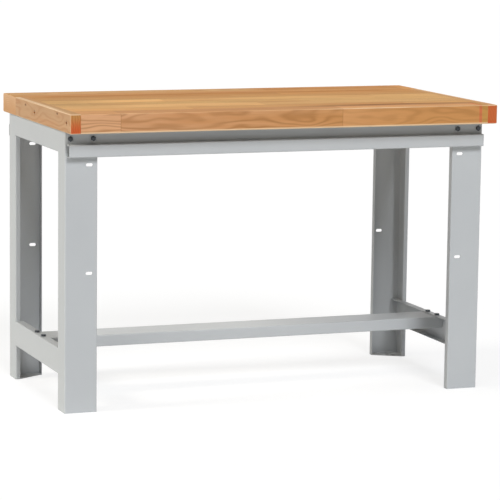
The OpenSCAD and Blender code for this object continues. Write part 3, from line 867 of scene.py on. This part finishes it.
for side, end in CORNERS.values():
    origin, x_axis, y_axis, z_axis = (Vector(value) for value in corner_axes(side, end))
    for ends in FOOT_BEADS:
        bead(beads, *(origin + x_axis * x + y_axis * y + z_axis * PLATE for x, y in ends))
bmesh.ops.recalc_face_normals(beads, faces=beads.faces[:])
mark_sharp(beads, 50)
bmesh.ops.scale(beads, verts=beads.verts[:], vec=(MM, MM, MM))
finish_piece("weld_beads", beads, FRAME_PAINT, "frame_paint", [])
print("made the weld beads")

# %% [markdown]
# ## Turned shapes
# A bolt's shank, a washer and a screw head are round, so each is a profile turned about its axis.
# A thread is drawn as close rings, because its helix is too fine to tell apart.

# %% The turning tools
def turned(profile, steps=32):
    """Turns a profile of radius and height, in millimetres, about the vertical axis."""
    mesh = bmesh.new()
    line = [mesh.verts.new((radius, 0, height)) for radius, height in profile]
    edges = [mesh.edges.new(pair) for pair in zip(line, line[1:])]
    bmesh.ops.spin(mesh, geom=line + edges, cent=(0, 0, 0), axis=(0, 0, 1), angle=2 * math.pi,
                   steps=steps, use_merge=True)
    bmesh.ops.remove_doubles(mesh, verts=mesh.verts[:], dist=1e-4)
    bmesh.ops.recalc_face_normals(mesh, faces=mesh.faces[:])
    return mesh


def joined(parts):
    """Puts several meshes into one, and frees them."""
    whole = bmesh.new()
    for part in parts:
        data = mesh_data("part", part)
        whole.from_mesh(data)
        bpy.data.meshes.remove(data)
    return whole


def group(name, template, places, nodes):
    """Copies one fastener to each of its places and finishes the copies as one piece."""
    whole = joined(placed(template.copy(), *place) for place in places)
    template.free()
    mark_sharp(whole)
    finish_piece(name, whole, BOLT_STEEL, "bolt_steel", nodes)


print("turning tools ready")

# %% [markdown]
# ## Bolts, washers and nuts
# The frame is held by M8 hexagon bolts: the head is outside, and the washer and the nut are inside
# the leg. A real hexagon is forged and then chamfered, which leaves a round top with curved arcs on
# the six sides. Here the arcs come from slicing the corners off with a ring of slanted planes.

# %% Make the bolts, washers and nuts
BOLT_R = 4.0
THREAD_PITCH = 1.25
THREAD_DEPTH = 0.6
CREST, ROOT = 0.25, 0.75
TIP_PAST_NUT = 2.5
TIP_TAPER = 0.8
HEAD_H = 5.3
NUT_H = 6.5
WASHER_R = 8.0
WASHER_T = 1.6
WASHER_HOLE_R = 4.5
WASHER_SOFT = 0.25
CHAMFER_R = FLATS * 0.47
CHAMFER_TILT = math.radians(28)
CHAMFER_CUTS = 24


def chamfered_hexagon(low, high, ends):
    """A hexagonal prism whose corners are sliced off at the given ends, -1 for low and 1 for high."""
    mesh = bmesh.new()
    bmesh.ops.create_cone(mesh, cap_ends=True, segments=6, radius1=POINTS / 2, radius2=POINTS / 2,
                          depth=high - low)
    bmesh.ops.translate(mesh, verts=mesh.verts[:], vec=(0, 0, (low + high) / 2))
    for end in ends:
        height = high if end > 0 else low
        for step in range(CHAMFER_CUTS):
            angle = step * 2 * math.pi / CHAMFER_CUTS
            outward = Vector((math.cos(angle), math.sin(angle), 0))
            point = outward * CHAMFER_R + Vector((0, 0, height))
            normal = outward * math.sin(CHAMFER_TILT) + Vector((0, 0, end * math.cos(CHAMFER_TILT)))
            cut = sliced(mesh, point, normal, clear_outer=True)
            rim = [item for item in cut if isinstance(item, bmesh.types.BMEdge)]
            if rim:
                bmesh.ops.edgeloop_fill(mesh, edges=rim)
    bmesh.ops.recalc_face_normals(mesh, faces=mesh.faces[:])
    return mesh


def thread(low, high):
    """Profile of a thread as close rings, from low to high."""
    points, height = [], low
    while height + THREAD_PITCH < high:
        points += [(BOLT_R, height), (BOLT_R, height + CREST), (BOLT_R - THREAD_DEPTH, height + ROOT)]
        height += THREAD_PITCH
    return points + [(BOLT_R, height), (BOLT_R - TIP_TAPER, high)]


def hex_bolt():
    """A bolt: z = 0 is under its head, and its shank runs up."""
    tip = 2 * SHEET + WASHER_T + NUT_H + TIP_PAST_NUT
    shank = turned([(0, 0.01), (BOLT_R, 0.01)] + thread(2 * SHEET + 1, tip) + [(0, tip)], 24)
    return joined([chamfered_hexagon(-HEAD_H, 0, [-1]), shank])


def washer():
    """A washer on the inside of the two sheets that the bolt clamps."""
    low, high, soft_r = 2 * SHEET, 2 * SHEET + WASHER_T, WASHER_R - WASHER_SOFT
    return turned([(WASHER_HOLE_R, low), (soft_r, low), (WASHER_R, low + WASHER_SOFT),
                   (WASHER_R, high - WASHER_SOFT), (soft_r, high), (WASHER_HOLE_R, high),
                   (WASHER_HOLE_R, low)], 36)


def nut():
    """A nut on the washer, chamfered at both ends, with its hole closed by the bolt's shank."""
    low = 2 * SHEET + WASHER_T
    return chamfered_hexagon(low, low + NUT_H, [-1, 1])


INWARD = {side: ((0, 0, 1), (0, side, 0), (-side, 0, 0)) for side in (-1, 1)}
AHEAD = {"front": ((1, 0, 0), (0, 0, -1), (0, 1, 0)), "rear": ((1, 0, 0), (0, 0, 1), (0, -1, 0)),
         "down": ((1, 0, 0), (0, -1, 0), (0, 0, -1)), "up": ((1, 0, 0), (0, 1, 0), (0, 0, 1))}
RAIL_TOP = box_mm("left_lower_rail")[1].z


def grid(xs, ys, z, facing):
    """A place at every pairing of the given x and y, all turned the same way."""
    return [((x, y, z), *AHEAD[facing]) for x in xs for y in ys]


BOLT_PLACES = {
    "front_rail": grid(RAIL_BOLT_XS, [FRONT_Y - SHEET], BOLT_Z, "front"),
    "rear_rail": grid(RAIL_BOLT_XS, [REAR_Y + SHEET], BOLT_Z, "rear"),
    "stretcher": grid((-STRETCHER_BOLT_X, STRETCHER_BOLT_X), STRETCHER_BOLT_YS, RAIL_TOP, "down")}
for word, places in BOLT_PLACES.items():
    group(f"{word}_hex_bolts", hex_bolt(), places, [f"{word}_bolts"])
    group(f"{word}_flat_washers", washer(), places, [f"{word}_washers"])
    group(f"{word}_hex_nuts", nut(), places, [f"{word}_nuts"])
print("made", sum(len(places) for places in BOLT_PLACES.values()), "bolts with washers and nuts")

# %% [markdown]
# ## Screws
# Pan-head screws hold the worktop from below, and two long ones hold each end batten, deep in a
# counterbore. The drive is a six-lobed recess. It starts as a round pit in the turned head, and its
# wall is then pushed in and out six times round.

# %% Make the screws
SCREW_HEAD_H = 3.5
SCREW_R = 3.0
SCREW_REACH = 38.0
BATTEN_SCREW_L = 70.0
COUNTERBORE = 12.0
PIT_R = 2.6
PIT_DEPTH = 2.3
LOBE = 0.16
LOBES = 6
SCREW_POINT = 6.0


def pan_screw(length):
    """A screw: z = 0 is under its head, and its shank runs up."""
    head_r, pit_floor = SCREW_HEAD / 2, PIT_DEPTH - SCREW_HEAD_H
    dome = [(PIT_R, 0.1), (PIT_R + 0.3, 0.0), (head_r * 0.6, 0.1), (head_r * 0.85, 0.6), (head_r, 1.6)]
    mesh = turned([(0, pit_floor), (PIT_R, pit_floor)] + [(r, drop - SCREW_HEAD_H) for r, drop in dome]
                  + [(head_r, -0.4), (head_r - 0.3, 0), (SCREW_R, 0), (SCREW_R, length - SCREW_POINT),
                     (0, length)], 36)
    for vertex in mesh.verts:
        radius = math.hypot(vertex.co.x, vertex.co.y)
        if 0.1 < radius < PIT_R + 0.1 and vertex.co.z < -1:
            swell = 1 + LOBE * math.cos(LOBES * math.atan2(vertex.co.y, vertex.co.x))
            vertex.co.x *= swell
            vertex.co.y *= swell
    return mesh


FLANGE_Z = LEG_H - SHEET
SCREW_PLACES = {
    "side_rail_screws": grid((-SIDE_SCREW_X, SIDE_SCREW_X), SIDE_SCREW_YS, FLANGE_Z, "up"),
    "front_rail_screws": grid(LONG_SCREW_XS, [FRONT_Y - LONG_SCREW_OUT], FLANGE_Z, "up"),
    "rear_rail_screws": grid(LONG_SCREW_XS, [REAR_Y + LONG_SCREW_OUT], FLANGE_Z, "up")}
for node, places in SCREW_PLACES.items():
    group(f"pan_{node}", pan_screw(SHEET + SCREW_REACH), places, [node])

batten_low, batten_high = box_mm("batten_screws")
BATTEN_SCREW_YS = (batten_low.y + SCREW_HEAD / 2, batten_high.y - SCREW_HEAD / 2)
BATTEN_SCREW_Z = (batten_low.z + batten_high.z) / 2
batten_places = [((side * (rim_high.x - COUNTERBORE), y, BATTEN_SCREW_Z), *INWARD[side])
                 for side in (-1, 1) for y in BATTEN_SCREW_YS]
group("long_batten_screws", pan_screw(BATTEN_SCREW_L - SCREW_HEAD_H), batten_places, ["batten_screws"])
print("made", sum(len(places) for places in SCREW_PLACES.values()) + len(batten_places), "screws")

# %% [markdown]
# ## Worktop boards
# The top is glued from long staves, with a wide board along the back and a batten across each end.
# Planed boards never meet in a perfect plane, so each has a hair-fine bevel that draws the seam. The
# outer corners of the whole top are broken by hand, which leaves a soft round edge that catches the
# light. One rule finds those corners: a level edge on the rim, or an upright edge at a true corner.

# %% Make the boards
ROUND_EDGE = 3.0
SEAM_EDGE = 0.3


def on_rim(vertex, axis):
    """Whether a point lies on the outer face of the worktop along an axis, 0 for X and 1 for Y."""
    return min(abs(vertex.co[axis] - rim_low[axis]), abs(vertex.co[axis] - rim_high[axis])) < 0.01


def is_outer(edge):
    """Whether an edge is one that the maker rounds over."""
    sides = [all(on_rim(vertex, axis) for vertex in edge.verts) for axis in (0, 1)]
    upright = abs(edge.verts[0].co.z - edge.verts[1].co.z) > 1
    return all(sides) if upright else any(sides)


def eased(mesh, edges, width, steps):
    """Bevels the edges of a board."""
    bmesh.ops.bevel(mesh, geom=edges, offset=width, offset_type="OFFSET", segments=steps, profile=0.5,
                    affect="EDGES", material=-1, clamp_overlap=True)


def board(node):
    """A board with the box of its engineering piece, its outer edges rounded and its seams eased."""
    low, high = box_mm(node)
    mesh = bmesh.new()
    bmesh.ops.create_cube(mesh, size=1.0)
    bmesh.ops.scale(mesh, verts=mesh.verts[:], vec=high - low)
    bmesh.ops.translate(mesh, verts=mesh.verts[:], vec=(low + high) / 2)
    outer = [edge for edge in mesh.edges if is_outer(edge)]
    if outer:
        eased(mesh, outer, ROUND_EDGE, 4)
    eased(mesh, corners_of(mesh, 60), SEAM_EDGE, 1)
    return mesh


def bored(mesh, cutters):
    """Cuts holes into a mesh with a boolean, applied at once, so that nothing is left live."""
    stock = new_object("stock", mesh_data("stock", mesh))
    drill = new_object("drill", mesh_data("drill", joined(cutters)))
    cut = stock.modifiers.new("cut", "BOOLEAN")
    cut.operation = "DIFFERENCE"
    cut.solver = "EXACT"
    cut.object = drill
    bpy.context.view_layer.update()
    result = bmesh.new()
    result.from_object(stock, bpy.context.evaluated_depsgraph_get())
    for piece in (stock, drill):
        data = piece.data
        bpy.data.objects.remove(piece)
        bpy.data.meshes.remove(data)
    return result


def counterbore(side, y):
    """The cutter of one counterbore, with an eased mouth and a flat floor under the screw head."""
    bore_r, ease = (SCREW_HEAD + 1) / 2, 0.5
    cutter = turned([(0, -2), (bore_r + ease + 2, -2), (bore_r, ease), (bore_r, COUNTERBORE),
                     (0, COUNTERBORE)], 40)
    return placed(cutter, (side * rim_high.x, y, BATTEN_SCREW_Z), *INWARD[side], scale=1)


def finish_board(name, mesh, material, slot, node):
    """Scales a board to metres and finishes it, with broad faces kept flat beside its soft edges."""
    bmesh.ops.scale(mesh, verts=mesh.verts[:], vec=(MM, MM, MM))
    keep_flat(finish_piece(name, mesh, material, slot, [node]))


staves = [node for node in sorted(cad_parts) if node.startswith("top_stave")]
for node in staves:
    finish_board(f"beech_{node}", board(node), STAVE_MATERIAL, "worktop_wood", node)
finish_board("beech_rear_board", board("rear_board"), REAR_MATERIAL, "worktop_wood", "rear_board")
for word, side in (("left", -1), ("right", 1)):
    batten = bored(board(f"{word}_end_batten"), [counterbore(side, y) for y in BATTEN_SCREW_YS])
    mark_sharp(batten, 50)
    finish_board(f"beech_{word}_batten", batten, BATTEN_MATERIAL, "batten_wood", f"{word}_end_batten")
print("made", len(staves), "staves, 1 rear board and 2 battens")

# %% [markdown]
# ## Studio
# The picture was taken against white paper. The floor is a plain pale sheet that takes the shadow of
# the bench. It could be lit until it burns out, but then the bench would burn out too. So the camera
# and the reflections see the sheet lighter than it lights the bench: on those rays it adds a little
# light of its own. The world round it works the same way.

# %% Make the studio floor and the background
FLOOR_SIZE = 60.0
FLOOR_LIFT = 0.80
WORLD_LIGHT = 0.02


def seen_directly(tree):
    """1 on rays from the camera and on reflected or transmitted ones, 0 on rays that carry light."""
    ray = add(tree, "ShaderNodeLightPath").outputs
    either = value_node(tree, "MAXIMUM", ray["Is Camera Ray"], ray["Is Glossy Ray"])
    return value_node(tree, "MAXIMUM", either, ray["Is Transmission Ray"])


def studio_floor():
    """A large pale sheet that is seen as white where no shadow falls."""
    material, tree, shader = new_material("white_paper")
    seen = seen_directly(tree)
    feed(tree, shader, {
        "Base Color": mix_node(tree, seen, linear("#F9F9F9"), linear("#8C8C8C")),
        "Emission Strength": value_node(tree, "MULTIPLY", seen, FLOOR_LIFT),
        "Emission Color": (1, 1, 1, 1), "Roughness": 1.0, "Specular IOR Level": 0.0})
    mesh = bmesh.new()
    bmesh.ops.create_grid(mesh, x_segments=1, y_segments=1, size=FLOOR_SIZE / 2)
    data = mesh_data("studio_floor", mesh)
    data.materials.append(material)
    floor = new_object("studio_floor", data)


def studio_world():
    """Soft light from all round, seen as plain white by the camera and in reflections."""
    world = bpy.data.worlds.new("studio")
    world.use_nodes = True
    tree = world.node_tree
    tree.nodes.clear()
    level = ramp_node(tree, seen_directly(tree), 0.0, 1.0, WORLD_LIGHT, 1.0)
    back = add(tree, "ShaderNodeBackground", {"Color": (1, 1, 1, 1), "Strength": level})
    add(tree, "ShaderNodeOutputWorld", {"Surface": back.outputs[0]})
    bpy.context.scene.world = world


studio_floor()
studio_world()
print("made the studio")

# %% [markdown]
# ## Lamps
# In the picture the fronts of the legs and the whole top of the stretcher are bright, but the rear
# legs are dark, and more so near the top. That happens when one lamp stands straight in front of the
# bench: each front leg shades the leg behind it, and only light from the floor reaches that one. It
# stands just low enough to light the band under the worktop. The left sides are brightest, so a
# second lamp stands far to the left. A weak one between the two and a weak one behind soften the
# shadows. Far lamps light both ends of the bench alike, so they are made as suns, with a wide angle
# for soft edges.

# %% Place the lamps
LAMP_AWAY = 5


def direction(turn, height):
    """A direction from its angle right of straight ahead and its angle above the floor."""
    return Vector((math.sin(turn) * math.cos(height), math.cos(turn) * math.cos(height), math.sin(height)))


def far_lamp(name, turn, height, power, spread, colour):
    """A sun lamp. turn is its angle left of straight in front, and height its angle above the floor."""
    lamp = bpy.data.lights.new(name, "SUN")
    lamp.energy = power
    lamp.angle = math.radians(spread)
    lamp.color = linear(colour)[:3]
    holder = new_object(name, lamp)
    towards = -direction(math.radians(turn), -math.radians(height))
    holder.rotation_euler = towards.to_track_quat("Z", "Y").to_euler()
    holder.location = towards * LAMP_AWAY


far_lamp("front_lamp", 0, 37, 1.92, 20, "#F9FBFF")
far_lamp("left_lamp", 90, 35, 1.82, 14, "#FFFBF0")
far_lamp("fill_lamp", 50, 32, 0.40, 25, "#FFFFFF")
far_lamp("back_lamp", 180, 40, 0.34, 25, "#FFFFFF")
print("placed 4 lamps")

# %% [markdown]
# ## Camera
# The photograph was taken with a long lens from about seven and a half metres. Its middle isn't the
# middle of the picture, because the picture was cropped, so the lens is shifted a little sideways.

# %% Set the camera
PHOTO = 500
FOCAL_PX = 2547.0
MIDDLE_PX = (225.0, 250.0)
CAMERA_MM = (-2630.9, -6995.8, 1509.8)
YAW, PITCH, ROLL = (math.radians(v) for v in (20.154, 8.448, -0.630))

camera_data = bpy.data.cameras.new("photo_camera")
camera_data.sensor_width = 36.0
camera_data.lens = FOCAL_PX / PHOTO * camera_data.sensor_width
camera_data.shift_x = (PHOTO / 2 - MIDDLE_PX[0]) / PHOTO
camera_data.shift_y = (MIDDLE_PX[1] - PHOTO / 2) / PHOTO
camera_data.clip_end = FLOOR_SIZE
camera = new_object("photo_camera", camera_data)
ahead = direction(YAW, -PITCH)
level = Vector((math.cos(YAW), -math.sin(YAW), 0))
plumb = level.cross(ahead)
right = level * math.cos(ROLL) - plumb * math.sin(ROLL)
upward = plumb * math.cos(ROLL) + level * math.sin(ROLL)
camera.matrix_world = Matrix((right, upward, -ahead)).transposed().to_4x4()
camera.location = Vector(CAMERA_MM) * MM
bpy.context.scene.camera = camera
bpy.context.scene.view_settings.view_transform = "Standard"
print("camera lens", round(camera_data.lens, 1), "mm")
